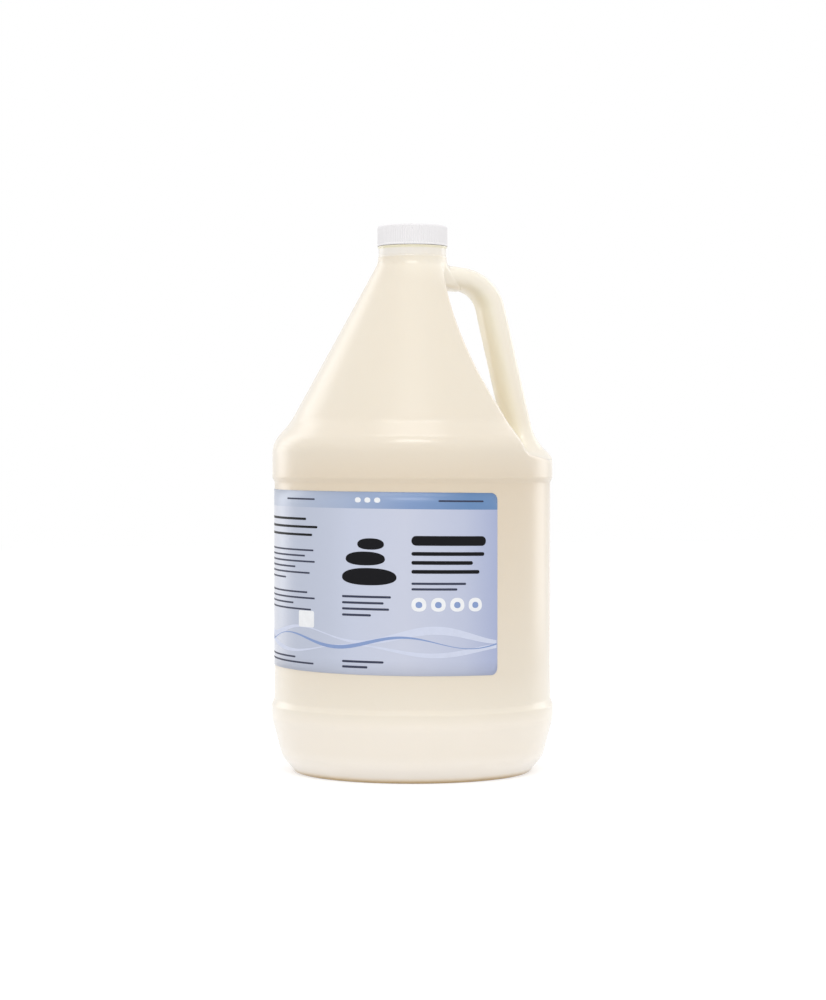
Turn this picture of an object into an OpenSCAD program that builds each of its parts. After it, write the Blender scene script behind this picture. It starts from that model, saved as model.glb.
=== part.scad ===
// One-gallon round jug with an integral handle, a ribbed screw cap,
// a foam liner disc and a wrap-round film label.
// Millimetres. Origin: centre of the plane that the jug stands on.
// +Z up, +X towards the handle, -Y is the face to the left of the handle.

/* [Jug body] */
// Diameter of the upper band, just below the shoulder
body_d = 158; // [150:0.5:170]
// Depth of the label panel below the upper band
panel_depth = 1.3; // [0.6:0.1:2]
// How far the lower bumper ring stands proud of the upper band
bumper_proud = 0.3; // [0:0.1:1]
// Mean wall thickness of the moulding
wall = 1; // [0.8:0.1:1.4]
// Outer radius of the ring that the jug stands on
foot_r = 66.2; // [64:0.2:68]
// How far the heel's corner lies inside the bumper ring
heel_in = 5.7; // [5:0.1:6.5]
// Height of the heel's corner
heel_z = 9; // [8:0.5:11]
// Radius of the heel rounding
heel_round = 12; // [6:0.5:14]
// Height of the lower edge of the bumper ring
bumper_z = 30.3; // [27:0.1:32]
// Height of the bumper ring's upright face
bumper_h = 7.5; // [6:0.1:9]
// Rounding of the bumper ring's upper edge
bumper_round = 2.5; // [1.5:0.1:3]
// Height of the step from the bumper ring in to the label panel
bumper_step = 3; // [2.5:0.1:4]
// How much wider the foot of the label panel is than its straight part
panel_spread = 0.3; // [0:0.1:0.6]
// Height of the lower end of the label panel
panel_z = 58; // [54:0.5:66]
// Height of the straight label panel
panel_h = 104.6; // [100:0.5:120]
// Height of the step from the label panel out to the upper band
step_h = 2.8; // [2:0.1:4]
// Height of the upper band, from the panel to the shoulder corner
band_h = 22; // [18:0.5:26]
// Radius of the rounding of the shoulder
shoulder_round = 15; // [8:0.5:16]
// Height of the steep part of the shoulder
shoulder_h = 11.9; // [9:0.1:14]
// How far the steep part of the shoulder runs inwards
shoulder_in = 10.3; // [8:0.1:12]
// Height of the cone from the shoulder to the neck
cone_h = 89.7; // [84:0.1:96]

/* [Base] */
// Height of the push-up in the middle of the base
push_up = 7.5; // [6.5:0.1:10]
// Radius of the flat middle of the push-up
push_up_r = 49; // [42:0.5:50]
// Fall of the push-up from its middle to its edge
push_fall = 1.7; // [1:0.1:2.5]
// Width of the slope from the push-up down to the standing ring
push_slope = 3.5; // [3.4:0.1:5]

/* [Neck] */
// Radius of the neck where the cone ends
neck_r = 19.4; // [19:0.1:21]
// Height of the neck above the cone
neck_h = 3.3; // [3:0.1:6]
// Radius of the collar below the cap
collar_r = 19.1; // [18.6:0.1:20]
// Height of the collar
collar_h = 5.1; // [4:0.1:8]
// Root radius of the neck finish inside the cap
finish_r = 17.4; // [17:0.05:17.6]
// Height of the neck finish above the collar
finish_h = 10.3; // [9:0.1:12]
// Radius of the mouth
mouth_r = 15.3; // [14:0.1:15.8]

/* [Handle] */
// Thickness of the grip, seen from the front
grip_t = 14.5; // [13:0.5:17]
// Thickness of the arm between the neck and the bend
arm_t = 13.2; // [11:0.2:15]
// Width of the grip, across the parting plane
grip_w = 25; // [20:0.5:28]
// Drop of the arm's middle at the bend below the cone's end
arm_drop = 10; // [9:0.1:12]
// Fall of the arm from the neck to the bend, in degrees
arm_fall = 6; // [2:0.5:9]
// Reach of the corner of the bend from the axis
bend_x = 43; // [42:0.5:46]
// Radius of the bend, at the middle of the grip
bend_round = 21; // [16:0.5:23]
// Lean of the grip from the vertical, in degrees
grip_lean = 13.4; // [10:0.2:15]
// Rounding where the arm meets the neck
arm_flare = 5; // [3:0.5:6]
// Turn of the flats between the neck and the arm's sides, from the parting plane
web_turn = 58; // [54:1:62]
// How far the flats stand clear of the neck
web_gap = 0.2; // [0.1:0.1:0.5]
// Height of the flats' lower end above the underside of the arm
web_up = 3; // [2:0.5:4]
// Rounding where the grip meets the shelf, across the grip
foot_flare_w = 22; // [16:0.5:23]
// Rounding where the grip meets the shelf, along the radius
foot_flare_t = 18; // [12:0.5:19]

/* [Finger pocket] */
// Distance of the pocket's wall from the axis, at the neck
pocket_x = 12; // [11:0.2:14]
// Reach from the pocket's wall at the neck to the corner of the shelf
pocket_reach = 33.3; // [30:0.5:36]
// Lean of the pocket's wall above the shelf, in degrees
pocket_lean = 27; // [24:0.5:30]
// Radius of the long curve in the pocket's wall
pocket_round = 150; // [110:5:160]
// Height of the shelf above the top of the label panel
shelf_up = 16; // [14:0.2:18]
// Fall of the shelf towards the rim, in degrees
shelf_fall = 7.7; // [4:0.2:10]
// Rounding between the pocket's wall and the shelf
shelf_round = 8; // [5:0.5:12]

/* [Cap] */
// Outer radius of the cap at its rim
cap_r = 19.9; // [19.8:0.05:20.6]
// How far the ribs stand back from the rim
rib_back = 0.1; // [0.05:0.05:0.2]
// Radius of the bore inside the skirt
cap_bore_r = 19; // [18.9:0.05:19.1]
// Thickness of the cap's top
cap_top_t = 1.1; // [0.9:0.1:2]
// Gap between the skirt and the collar
skirt_gap = 0.9; // [0.5:0.1:1.5]
// Rounding of the cap's top edge
cap_round = 1.3; // [0.8:0.1:1.8]
// Number of grip ribs round the skirt
rib_count = 96; // [60:4:120]
// Depth of a rib
rib_depth = 0.3; // [0.2:0.05:0.4]
// Height of the plain band at the foot of the skirt
rim_h = 0.8; // [0.5:0.1:1.5]

/* [Liner] */
// Thickness of the foam liner
liner_t = 0.9; // [0.6:0.1:1.5]
// Clearance between the liner and the cap's bore
liner_gap = 0.3; // [0.2:0.05:0.5]

/* [Label] */
// Height of the label
label_h = 98.4; // [80:0.1:99]
// Height of the label's lower edge above the panel's lower end
label_up = 2.3; // [1:0.1:4]
// Angle that the label spans round the body, in degrees
label_span = 217; // [180:1:300]
// Thickness of the film
label_t = 0.15; // [0.1:0.01:0.3]
// Thickness of the adhesive under the film
glue_t = 0.1; // [0.05:0.01:0.2]
// Radius of the label's corners
label_corner = 4; // [2:0.5:8]

/* [Hidden] */

$fn = 96;
eps = 0.01;            // overrun of a cut past the face it opens
lap = 1;               // overlap of the collar's solid with the neck below it
round_steps = 8;       // segments in one rounded corner of a profile
grip_sides = 28;       // sides of the handle's section
grip_square = 2.4;     // 2 is an ellipse, larger is squarer
far = 100;             // well outside the body
clip_up = 9.6;         // above this height over the shelf the grip may leave the shoulder
arm_root = 6;          // how far the arm runs on inside the neck
grip_root = 8;         // how far the grip runs on below the shelf
bore_step = [-1.5, 2]; // where the neck's bore narrows to the mouth, about the neck's top
lip_chamfer = 0.5;     // chamfer round the mouth
rib_marks = [0.1, 0.4, 0.6, 0.9]; // a rib's four corners, as shares of its pitch
cut_reach = 2;         // how far a cut of the label's corner reaches to each side of the film

body_r = body_d / 2;
panel_r = body_r - panel_depth;
bumper_r = body_r + bumper_proud;
bumper_top_z = bumper_z + bumper_h;
panel_top_z = panel_z + panel_h;
shoulder_z = panel_top_z + band_h;
cone_z = shoulder_z + shoulder_h;
neck_z = cone_z + cone_h;
neck_top_z = neck_z + neck_h;
collar_top_z = neck_top_z + collar_h;
lip_z = collar_top_z + finish_h;
cap_z = collar_top_z + skirt_gap;
cap_in_z = lip_z + liner_t;
cap_top_z = cap_in_z + cap_top_t;
rib_r = cap_r - rib_back;
arm_z = neck_z - arm_drop;
shelf_z = panel_top_z + shelf_up;

// ---- profiles: corners are [x, z, rounding] ----

function xz(c) = [c[0], c[1]];
function unit(v) = v / norm(v);
function cross_z(a, b) = a[0] * b[1] - a[1] * b[0];

// Points of one corner of a profile, rounded by its own radius
function corner_points(a, b, c, r, n) =
    r <= 0 ? [b] :
    let (u = unit(a - b), v = unit(c - b))
    let (half = acos(min(1, max(-1, u * v))) / 2)
    let (mid = unit(u + v), centre = b + mid * r / sin(half))
    let (p = b + u * r / tan(half) - centre)
    let (turn = (cross_z(u, v) > 0 ? -1 : 1) * (180 - 2 * half))
    [for (i = [0 : n]) let (t = turn * i / n)
        centre + [p[0] * cos(t) - p[1] * sin(t), p[0] * sin(t) + p[1] * cos(t)]];

// An open profile with every corner but the first and last rounded
function rounded(corners, n = round_steps) =
    let (last = len(corners) - 1)
    [for (i = [0 : last])
        if (i == 0 || i == last) xz(corners[i])
        else each corner_points(xz(corners[i - 1]), xz(corners[i]),
            xz(corners[i + 1]), corners[i][2], n)];

// The same corners, moved to the left of their direction by d; one on the axis stays on it
function side(a, b) = let (v = unit(xz(b) - xz(a))) [-v[1], v[0]];
function moved_corner(corners, i, d) =
    let (last = len(corners) - 1)
    let (before = side(corners[max(i - 1, 0)], corners[max(i, 1)]))
    let (after = side(corners[min(i, last - 1)], corners[min(i + 1, last)]))
    let (shift = (before + after) / (1 + before * after))
    let (bend = cross_z(before, after))
    let (r = corners[i][2] == 0 ? 0 : corners[i][2] - d * sign(bend))
    [corners[i][0] == 0 ? 0 : corners[i][0] + d * shift[0], corners[i][1] + d * shift[1], max(0, r)];
function moved(corners, d) =
    [for (i = [0 : len(corners) - 1]) moved_corner(corners, i, d)];

// Outside of the moulding from the middle of the base up to the neck
shell_corners = [
    [0, push_up, 0],
    [push_up_r, push_up - push_fall, 6],
    [push_up_r + push_slope, 0, 3],
    [foot_r, 0, 2],
    [bumper_r - heel_in, heel_z, heel_round],
    [bumper_r, bumper_z, 12],
    [bumper_r, bumper_top_z, bumper_round],
    [panel_r + panel_spread, bumper_top_z + bumper_step, 4],
    [panel_r, panel_z, 60],
    [panel_r, panel_top_z, 3],
    [body_r, panel_top_z + step_h, 3],
    [body_r, shoulder_z, shoulder_round],
    [body_r - shoulder_in, cone_z, 25],
    [neck_r, neck_z, 10],
    [neck_r, neck_top_z, 0]
];

// The neck above the cone: collar and finish
neck_corners = [
    [0, neck_top_z - lap, 0],
    [neck_r - 2 * lap, neck_top_z - lap, 0],
    [collar_r, neck_top_z, 0],
    [collar_r, collar_top_z, 0.5],
    [finish_r, collar_top_z, 0.3],
    [finish_r, lip_z, 0.5],
    [0, lip_z, 0]
];

// The mouth and the bore of the neck, from the cone upwards
mouth_corners = [
    [0, neck_z, 0],
    [neck_r - wall, neck_z, 0],
    [neck_r - wall, neck_top_z + bore_step[0], 1],
    [mouth_r, neck_top_z + bore_step[1], 1],
    [mouth_r, lip_z - lip_chamfer, 0],
    [mouth_r + lip_chamfer, lip_z + eps, 0],
    [0, lip_z + eps, 0]
];

// The finger pocket, seen along the parting plane
pocket_corners = [
    [far, neck_top_z - eps, 0],
    [pocket_x, neck_top_z - eps, 2],
    [pocket_x, shelf_z + pocket_reach / tan(pocket_lean), pocket_round],
    [pocket_x + pocket_reach, shelf_z, shelf_round],
    [far, shelf_z - (far - pocket_x - pocket_reach) * tan(shelf_fall), 0]
];

// ---- the handle: sections swept along a bent path ----

// Where the middle of the grip meets the shelf
shelf_corner_x = pocket_x + pocket_reach;
lean = tan(grip_lean);
fall = tan(shelf_fall);
root_z = (shelf_z - (bend_x + arm_z * lean - shelf_corner_x) * fall) / (1 - lean * fall);

// Stations along the path, each [x, z, tilt, distance from neck, distance from shelf]
neck_steps = [0.12, 0.3, 0.6, 1];
shelf_steps = [1.6, 1, 0.75, 0.55, 0.4, 0.27, 0.15, 0.06];
bend_steps = 10;
bend_turn = 90 - grip_lean - arm_fall;
bend_run = bend_round * tan(bend_turn / 2);
bend_centre = [bend_x - bend_run * cos(arm_fall) - bend_round * sin(arm_fall),
    arm_z + bend_run * sin(arm_fall) - bend_round * cos(arm_fall)];
function arm_station(x) = [x, arm_z + (bend_x - x) * tan(arm_fall), -arm_fall, x - pocket_x, far];
function bend_station(a) = [bend_centre[0] + bend_round * cos(a),
    bend_centre[1] + bend_round * sin(a), a - 90, far, far];
function grip_station(d) = let (z = root_z + d * cos(grip_lean))
    let (tilt = (grip_lean + shelf_fall) * max(0, 1 - d / foot_flare_w))
    [bend_x + (arm_z - z) * lean, z, grip_lean - 90 - tilt, far, d];
function stations(inset) = concat(
    [for (x = [pocket_x - arm_root, pocket_x - inset]) arm_station(x)],
    [for (f = neck_steps) arm_station(pocket_x + f * arm_flare)],
    [for (i = [0 : bend_steps]) bend_station(90 - arm_fall - bend_turn * i / bend_steps)],
    [for (f = shelf_steps) grip_station(f * foot_flare_w)],
    [for (d = [-inset, -grip_root]) grip_station(d)]);

// What a root's rounding of radius r adds to a section at distance d from the face it meets
function flare(d, r, inset) =
    d >= r ? 0 : inset + r - sqrt(pow(r + inset, 2) - pow(r - max(-inset, d), 2));

// Half thickness and half width of the section at a station; the bend thickens the arm to the grip
function bend_share(s) = min(1, (-s[2] - arm_fall) / bend_turn);
function half_t(s, inset) = (arm_t + (grip_t - arm_t) * bend_share(s)) / 2 - inset
    + flare(s[3], arm_flare, inset) + flare(s[4], foot_flare_t, inset);
function half_w(s, inset) = grip_w / 2 - inset
    + flare(s[3], arm_flare, inset) + flare(s[4], foot_flare_w, inset);

// One ring of the section, squarer than an ellipse
function power(v) = sign(v) * pow(abs(v), 2 / grip_square);
function ring(s, inset) =
    [for (k = [0 : grip_sides - 1])
        let (t = half_t(s, inset) * power(cos(360 * k / grip_sides)))
        let (w = half_w(s, inset) * power(sin(360 * k / grip_sides)))
        [s[0] - t * sin(s[2]), w, s[1] + t * cos(s[2])]];

module sweep(rings) {
    sides = len(rings[0]);
    count = len(rings);
    points = [for (r = rings) each r];
    skin = [for (i = [0 : count - 2]) for (k = [0 : sides - 1])
        let (a = i * sides + k, b = i * sides + (k + 1) % sides)
        each [[a, b, b + sides], [a, b + sides, a + sides]]];
    ends = [[for (k = [sides - 1 : -1 : 0]) k],
        [for (k = [0 : sides - 1]) (count - 1) * sides + k]];
    polyhedron(points = points, faces = concat(ends, skin), convexity = 6);
}

module revolve(points) {
    rotate_extrude() polygon(points);
}

module pocket(grow) {
    rotate([90, 0, 0]) linear_extrude(2 * far, center = true)
        polygon(rounded(moved(pocket_corners, -grow)));
}

// Body of revolution below the neck's end, shrunk by inset
module shell_form(inset) {
    revolve(concat(rounded(moved(shell_corners, inset)), [[0, neck_top_z - inset]]));
}

// The handle, kept inside the shoulder where it flares into the shelf
module handle_form(inset) {
    intersection() {
        sweep([for (s = stations(inset)) ring(s, inset)]);
        union() {
            shell_form(inset);
            translate([0, -far / 2, shelf_z + clip_up]) cube([far, far, 2 * far]);
        }
    }
}

// The flats that close the pocket's top: from the neck to the sides of the arm
module web_form(inset) {
    reach = neck_r + web_gap - inset;
    bottom = arm_z - arm_t / 2 + web_up + inset;
    wide = reach / sin(web_turn);
    intersection() {
        shell_form(inset);
        translate([0, 0, bottom]) linear_extrude(neck_top_z - inset - bottom)
            polygon([[0, -wide], [reach / cos(web_turn), 0], [0, wide]]);
    }
}

module jug() {
    color("#ecdcb6")
    difference() {
        union() {
            difference() {
                shell_form(0);
                pocket(0);
            }
            web_form(0);
            revolve(rounded(neck_corners));
            handle_form(0);
        }
        difference() {
            shell_form(wall);
            pocket(wall);
        }
        web_form(wall);
        handle_form(wall);
        revolve(rounded(mouth_corners));
    }
}

// Ribbed outline of the skirt
function rib_outline() =
    [for (i = [0 : rib_count - 1]) for (k = [0 : 3])
        let (a = 360 * (i + rib_marks[k]) / rib_count)
        let (r = rib_r - (k == 0 || k == 3 ? rib_depth : 0))
        [r * cos(a), r * sin(a)]];

module cap() {
    dome_r = cap_r + rib_depth;
    dome_round = cap_round + rib_depth;
    dome = [[0, cap_z, 0], [dome_r, cap_z, 0], [dome_r, cap_top_z, dome_round], [0, cap_top_z, 0]];
    color("#f1eff0")
    difference() {
        union() {
            intersection() {
                translate([0, 0, cap_z + rim_h / 2])
                    linear_extrude(cap_top_z - cap_z) polygon(rib_outline());
                revolve(rounded(dome, 5));
            }
            translate([0, 0, cap_z]) cylinder(r = cap_r, h = rim_h);
        }
        translate([0, 0, cap_z - eps]) cylinder(r = cap_bore_r, h = cap_in_z - cap_z + eps);
    }
}

module liner() {
    color("#fbfaf6")
    translate([0, 0, lip_z]) cylinder(r = cap_bore_r - liner_gap, h = liner_t);
}

// Cuts one corner of the label round; the corner lies at the origin, its centre in +Y +Z
module corner_cut() {
    r = label_corner;
    difference() {
        translate([-cut_reach, -eps, -eps]) cube([2 * cut_reach, r + eps, r + eps]);
        translate([-2 * cut_reach, r, r]) rotate([0, 90, 0]) cylinder(r = r, h = 4 * cut_reach);
    }
}

module label() {
    bottom = panel_z + label_up;
    start = 180 - label_span / 2;
    color("#b9c3e6")
    difference() {
        rotate([0, 0, start]) rotate_extrude(angle = label_span)
            translate([panel_r + glue_t, bottom]) square([label_t, label_h]);
        for (end = [0, 1]) for (up = [0, 1])
            rotate([0, 0, start + end * label_span]) translate([panel_r, 0, bottom + up * label_h])
                mirror([0, end, 0]) mirror([0, 0, up]) corner_cut();
    }
}

jug();
cap();
liner();
label();
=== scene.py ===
"""Looks of a one-gallon jug with an integral handle, a screw cap and a wrap-round label.

Lengths are millimetres in the CAD frame (origin at the middle of the standing plane, +Z up,
+X towards the handle), and make_mesh() scales them to metres.
"""

import math

import bpy
import numpy as np
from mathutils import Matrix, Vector


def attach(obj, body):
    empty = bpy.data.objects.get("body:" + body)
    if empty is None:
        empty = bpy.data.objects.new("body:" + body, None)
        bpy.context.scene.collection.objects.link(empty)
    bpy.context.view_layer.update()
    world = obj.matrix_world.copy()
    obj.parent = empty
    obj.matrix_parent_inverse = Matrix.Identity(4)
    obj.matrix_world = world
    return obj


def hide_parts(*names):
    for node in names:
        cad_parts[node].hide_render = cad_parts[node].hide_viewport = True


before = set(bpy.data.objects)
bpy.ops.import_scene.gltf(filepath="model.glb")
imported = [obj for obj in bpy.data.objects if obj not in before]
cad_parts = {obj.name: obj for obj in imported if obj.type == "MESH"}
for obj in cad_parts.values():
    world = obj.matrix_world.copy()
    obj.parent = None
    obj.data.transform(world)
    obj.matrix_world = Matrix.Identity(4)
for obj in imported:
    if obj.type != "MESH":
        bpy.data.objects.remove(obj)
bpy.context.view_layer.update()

MM = 0.001

# ---------------------------------------------------------------- sizes (as in part.scad)
BODY_R, PANEL_R, BUMPER_R, FOOT_R = 79.0, 77.7, 79.3, 66.2
PUSH_UP, PUSH_UP_R, PUSH_FALL, PUSH_SLOPE = 7.5, 49.0, 1.7, 3.5
HEEL_IN, HEEL_Z, HEEL_ROUND = 5.7, 9.0, 12.0
BUMPER_Z, BUMPER_TOP_Z, BUMPER_ROUND, BUMPER_STEP = 30.3, 37.8, 2.5, 3.0
PANEL_SPREAD, PANEL_Z, PANEL_TOP_Z, STEP_H = 0.3, 58.0, 162.6, 2.8
SHOULDER_Z, SHOULDER_IN, CONE_Z = 184.6, 10.3, 196.5
NECK_R, NECK_Z, NECK_TOP_Z = 19.4, 286.2, 289.5
COLLAR_R, COLLAR_TOP_Z = 19.1, 294.6
SEAT_R, SEAT_H = 19.55, 0.75                    # the bead that all but fills the gap under the cap
FINISH_R, MOUTH_R, LIP_Z = 17.4, 15.3, 304.9
WALL = 1.0
POCKET_X, SHELF_X, SHELF_Z = 12.0, 45.3, 178.6
POCKET_LEAN, SHELF_FALL = math.radians(27), math.radians(7.7)
ARM_Z, ARM_FALL = 276.2, math.radians(6)
BEND_X, BEND_R, GRIP_LEAN = 43.0, 21.0, math.radians(13.4)
ARM_HALF_T, GRIP_HALF_T, GRIP_HALF_W, GRIP_SQUARE = 6.6, 7.25, 12.5, 2.4
ARM_FLARE, FOOT_FLARE_T, FOOT_FLARE_W = 5.0, 18.0, 22.0
WEB_TURN, WEB_REACH, WEB_Z = math.radians(58), NECK_R + 0.2, ARM_Z - 3.6
CLIP_Z = SHELF_Z + 9.6
CAP_R, CAP_BORE_R, CAP_ROUND, RIM_H = 19.9, 19.0, 1.3, 0.8
CAP_Z, CAP_IN_Z, CAP_TOP_Z = 295.5, 305.8, 306.9
RIB_COUNT, RIB_DEPTH = 96, 0.3
PITCH = 25.4 / 6                                # six turns an inch
THREAD_R, CAP_THREAD_R = 18.6, 17.9             # crests
THREAD_Z = 297.2                                # where the neck's thread starts
NECK_THREAD = (1.4, 1.15, 0.45)                 # turns, half width of root and crest
CAP_THREAD = (1.2, 1.0, 0.4)
LABEL_R, LABEL_T = PANEL_R + 0.1, 0.15
LABEL_Z, LABEL_H, LABEL_SPAN, LABEL_CORNER = 60.3, 98.4, 217.0, 4.0
VIEW_AZIMUTH = -18.0
FAR = 340.0                                     # beyond everything


# ---------------------------------------------------------------- profiles
def corner(a, b, c, radius, steps):
    """The points of corner b, between a and c, rounded by radius."""
    if radius <= 0:
        return [b]
    u, v = (a - b) / np.linalg.norm(a - b), (c - b) / np.linalg.norm(c - b)
    half = math.acos(max(-1, min(1, float(u @ v)))) / 2
    centre = b + (u + v) / np.linalg.norm(u + v) * radius / math.sin(half)
    arm = b + u * radius / math.tan(half) - centre
    turn = (math.pi - 2 * half) * (-1 if u[0] * v[1] - u[1] * v[0] > 0 else 1)
    angles = [turn * i / steps for i in range(steps + 1)]
    return [centre + [arm[0] * math.cos(t) - arm[1] * math.sin(t),
                      arm[0] * math.sin(t) + arm[1] * math.cos(t)] for t in angles]


def rounded(corners, steps=10):
    """A profile of [x, z, radius] corners with all but its ends rounded."""
    flat = [np.array(c[:2], float) for c in corners]
    points = [flat[0]]
    for i in range(1, len(corners) - 1):
        points += corner(flat[i - 1], flat[i], flat[i + 1], corners[i][2], steps)
    return np.array(points + [flat[-1]])


def refined(points, longest):
    """The same profile with no step longer than longest."""
    rows = []
    for a, b in zip(points[:-1], points[1:]):
        count = max(1, math.ceil(np.linalg.norm(b - a) / longest))
        rows += [a + (b - a) * i / count for i in range(count)]
    return np.array(rows + [points[-1]])


def inset(corners, d):
    """The same corners moved to the left of their direction by d; one on the axis stays on it."""
    flat = np.array([c[:2] for c in corners], float)
    run = np.diff(flat, axis=0)
    side = np.stack([-run[:, 1], run[:, 0]], axis=1) / np.linalg.norm(run, axis=1)[:, None]
    rows = []
    for i, (x, z, r) in enumerate(corners):
        before, after = side[max(i - 1, 0)], side[min(i, len(side) - 1)]
        shift = (before + after) / (1 + before @ after)
        bend = np.sign(before[0] * after[1] - before[1] * after[0])
        rows.append([x and x + d * shift[0], z + d * shift[1], r and max(0, r - d * bend)])
    return rows


BODY_CORNERS = [
    [0, PUSH_UP, 0], [PUSH_UP_R, PUSH_UP - PUSH_FALL, 6], [PUSH_UP_R + PUSH_SLOPE, 0, 3],
    [FOOT_R, 0, 2], [BUMPER_R - HEEL_IN, HEEL_Z, HEEL_ROUND], [BUMPER_R, BUMPER_Z, 12],
    [BUMPER_R, BUMPER_TOP_Z, BUMPER_ROUND], [PANEL_R + PANEL_SPREAD, BUMPER_TOP_Z + BUMPER_STEP, 4],
    [PANEL_R, PANEL_Z, 60], [PANEL_R, PANEL_TOP_Z, 3], [BODY_R, PANEL_TOP_Z + STEP_H, 3],
    [BODY_R, SHOULDER_Z, 15], [BODY_R - SHOULDER_IN, CONE_Z, 25], [NECK_R, NECK_Z, 10],
    [NECK_R, NECK_TOP_Z, 0],
]
BODY = rounded(BODY_CORNERS, 20)
INSIDE = rounded(inset(BODY_CORNERS, WALL), 12)
BODY_FORM = np.concatenate([[[-FAR, PUSH_UP]], BODY, [[NECK_R, FAR], [-FAR, FAR]]])
POCKET_FORM = rounded([
    [FAR, NECK_TOP_Z, 0], [POCKET_X, NECK_TOP_Z, 2],
    [POCKET_X, SHELF_Z + (SHELF_X - POCKET_X) / math.tan(POCKET_LEAN), 150],
    [SHELF_X, SHELF_Z, 8], [FAR, SHELF_Z - (FAR - SHELF_X) * math.tan(SHELF_FALL), 0],
], 30)
GRIP_END_Z = 160.0
ARM_START_X = 4.0
PATH = rounded([
    [ARM_START_X, ARM_Z + (BEND_X - ARM_START_X) * math.tan(ARM_FALL), 0], [BEND_X, ARM_Z, BEND_R],
    [BEND_X + (ARM_Z - GRIP_END_Z) * math.tan(GRIP_LEAN), GRIP_END_Z, 0],
], 30)


# ---------------------------------------------------------------- distance fields
def line_distance(px, pz, line):
    """Distance to an open line."""
    best = np.full(np.broadcast(px, pz).shape, 1e9)
    for a, b in zip(line[:-1], line[1:]):
        ex, ez = b - a
        wx, wz = px - a[0], pz - a[1]
        t = np.clip((wx * ex + wz * ez) / (ex * ex + ez * ez), 0, 1)
        best = np.minimum(best, (wx - ex * t) ** 2 + (wz - ez * t) ** 2)
    return np.sqrt(best)


def form_distance(px, pz, form):
    """Signed distance to a closed outline, negative inside."""
    inside = np.zeros(np.broadcast(px, pz).shape, bool)
    loop = np.concatenate([form, form[:1]])
    for a, b in zip(loop[:-1], loop[1:]):
        if abs(b[1] - a[1]) > 1e-9:
            crosses = (a[1] > pz) != (b[1] > pz)
            inside ^= crosses & (px < a[0] + (pz - a[1]) / (b[1] - a[1]) * (b[0] - a[0]))
    return np.where(inside, -1, 1) * line_distance(px, pz, loop)


class Table:
    """A field of two coordinates, looked up between the nodes of a fine grid."""
    STEP = 0.25

    def __init__(self, field, shape, low, high):
        self.low = low
        u, v = (np.arange(low[i], high[i], self.STEP) for i in range(2))
        self.values = field(u[:, None], v[None, :], shape)

    def __call__(self, u, v):
        u, v = np.broadcast_arrays((u - self.low[0]) / self.STEP, (v - self.low[1]) / self.STEP)
        i = np.clip(u.astype(int), 0, self.values.shape[0] - 2)
        j = np.clip(v.astype(int), 0, self.values.shape[1] - 2)
        a, b, t = u - i, v - j, self.values
        return ((t[i, j] * (1 - a) + t[i + 1, j] * a) * (1 - b)
                + (t[i, j + 1] * (1 - a) + t[i + 1, j + 1] * a) * b)


NET_Z = 168.0                                   # below this height the moulding is turned
REACH, TABLE_Z, TABLE_TOP_Z = 100, NET_Z - 6, NECK_TOP_Z + 4
body_field = Table(form_distance, BODY_FORM, (0, TABLE_Z), (REACH, TABLE_TOP_Z))
pocket_field = Table(form_distance, POCKET_FORM, (-REACH, TABLE_Z), (REACH, TABLE_TOP_Z))
path_field = Table(line_distance, PATH, (-REACH, TABLE_Z), (REACH, TABLE_TOP_Z))


def soft_min(a, b, k):
    """The smaller of two fields, blended over k."""
    h = np.clip(0.5 + 0.5 * (b - a) / k, 0, 1)
    return b + (a - b) * h - k * h * (1 - h)


def soft_max(a, b, k):
    return -soft_min(-a, -b, k)


def flare(d, r):
    """What a root's rounding adds to a section at distance d from the face it meets."""
    return r - np.sqrt(r * r - (r - np.clip(d, 0, r)) ** 2)


def handle_field(x, y, z):
    """The handle: a squared oval swept along PATH and flared at both roots."""
    shelf = (z - SHELF_Z + (x - SHELF_X) * math.tan(SHELF_FALL)) * math.cos(SHELF_FALL)
    neck = flare(x - POCKET_X, ARM_FLARE)
    grip = np.clip((ARM_Z - z) / BEND_R, 0, 1)
    half_t = ARM_HALF_T + (GRIP_HALF_T - ARM_HALF_T) * grip + neck + flare(shelf, FOOT_FLARE_T)
    half_w = GRIP_HALF_W + neck + flare(shelf, FOOT_FLARE_W)
    e = GRIP_SQUARE
    u, v = path_field(x, z) / half_t + 1e-6, np.abs(y) / half_w + 1e-6
    g = (u ** e + v ** e) ** (1 / e)
    slope = g ** (1 - e) * np.sqrt((u ** (e - 1) / half_t) ** 2 + (v ** (e - 1) / half_w) ** 2)
    return (g - 1) / slope


RIDGE_SOFT = 0.5                                # rounds the line where the web's two flats meet
WEB_BLEND, GRIP_BLEND = 3.0, 4.0
NECK_FADE = 8                                   # takes the pocket out of the neck's last stretch
EDGE_ROUND, EDGE_SPREAD, EDGE_RUN = 0.7, 1.5, 30    # the pocket's rounding, which grows downwards


def jug_field(x, y, z):
    """Distance to the outside of the moulding, above NET_Z."""
    body = body_field(np.hypot(x, y), z)
    flats = x * math.cos(WEB_TURN) + np.sqrt(y * y + RIDGE_SOFT ** 2) * math.sin(WEB_TURN) - WEB_REACH
    web = soft_max(flats, WEB_Z - z, WEB_BLEND)
    grip = handle_field(x, y, z)
    kept = soft_min(soft_min(-pocket_field(x, z), web, WEB_BLEND), grip, GRIP_BLEND)
    kept = kept - NECK_FADE * np.clip((z - NECK_Z) / (NECK_TOP_Z - NECK_Z), 0, 1)
    edge = EDGE_ROUND + EDGE_SPREAD * np.clip((NECK_Z - z) / EDGE_RUN, 0, 1)
    return np.minimum(soft_max(body, kept, edge), np.maximum(grip, CLIP_Z - z))


def gradient(points, h):
    """Gradient of the jug's field at points."""
    def at(offset):
        return jug_field(*(points + offset).T)
    return np.stack([at(s) - at(-s) for s in h * np.eye(3)], axis=1) / (2 * h)


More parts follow.
